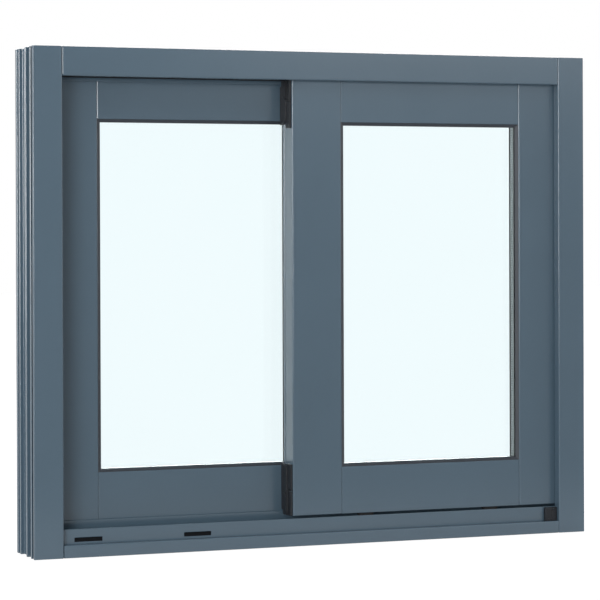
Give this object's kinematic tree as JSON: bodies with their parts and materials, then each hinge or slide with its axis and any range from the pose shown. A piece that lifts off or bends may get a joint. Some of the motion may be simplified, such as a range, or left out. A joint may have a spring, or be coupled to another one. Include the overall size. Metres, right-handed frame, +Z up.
{
  "type": "horizontal sliding window",
  "caption": "Horizontal sliding window: a thermally broken aluminium frame with overlapping double-glazed sashes on a stepped track sill with weep slots.",
  "frame": {"origin": "bottom centre of the frame: middle of its width and depth, on the underside of its sill", "axes": "+X to the right seen from outdoors, -Y the outdoor face, +Z up"},
  "size_m": [0.762, 0.0826, 0.635],
  "materials": {
    "frame_paint": "satin powder coat",
    "sash_paint": "satin powder coat",
    "thermal_break": "coated polyamide",
    "glass": "clear, neutral coating",
    "spacer_bar": "mill finish, perforated",
    "gasket_rubber": "matt",
    "roller_nylon": "moulded nylon",
    "pile": "woven pile",
    "black_plastic": "moulded, fine texture"
  },
  "bodies": {
    "root": {"left_jamb_outdoor": "frame_paint", "left_jamb_indoor": "frame_paint", "left_jamb_break": "thermal_break", "right_jamb_outdoor": "frame_paint", "right_jamb_indoor": "frame_paint", "right_jamb_break": "thermal_break", "head_outdoor": "frame_paint", "head_indoor": "frame_paint", "head_break": "thermal_break", "sill_outdoor": "frame_paint", "sill_indoor": "frame_paint", "sill_break": "thermal_break", "front_meeting_stile": "sash_paint", "front_jamb_stile": "sash_paint", "front_top_rail": "sash_paint", "front_bottom_rail": "sash_paint", "front_outer_pane": "glass", "front_inner_pane": "glass", "front_spacer": "spacer_bar", "front_sealant": "gasket_rubber", "front_gasket": "gasket_rubber", "front_rollers": "roller_nylon", "rear_meeting_stile": "sash_paint", "rear_jamb_stile": "sash_paint", "rear_top_rail": "sash_paint", "rear_bottom_rail": "sash_paint", "rear_outer_pane": "glass", "rear_inner_pane": "glass", "rear_spacer": "spacer_bar", "rear_sealant": "gasket_rubber", "rear_gasket": "gasket_rubber", "rear_rollers": "roller_nylon", "stile_foot_block": "black_plastic", "stile_head_block": "black_plastic", "sill_end_block": "black_plastic", "left_jamb_pile": "pile", "right_jamb_pile": "pile", "head_pile": "pile", "sill_pile": "pile", "interlock_pile": "pile", "front_pull": "black_plastic", "front_pull_thumb": "black_plastic", "rear_pull": "black_plastic", "rear_pull_thumb": "black_plastic"}
  },
  "joints": []
}
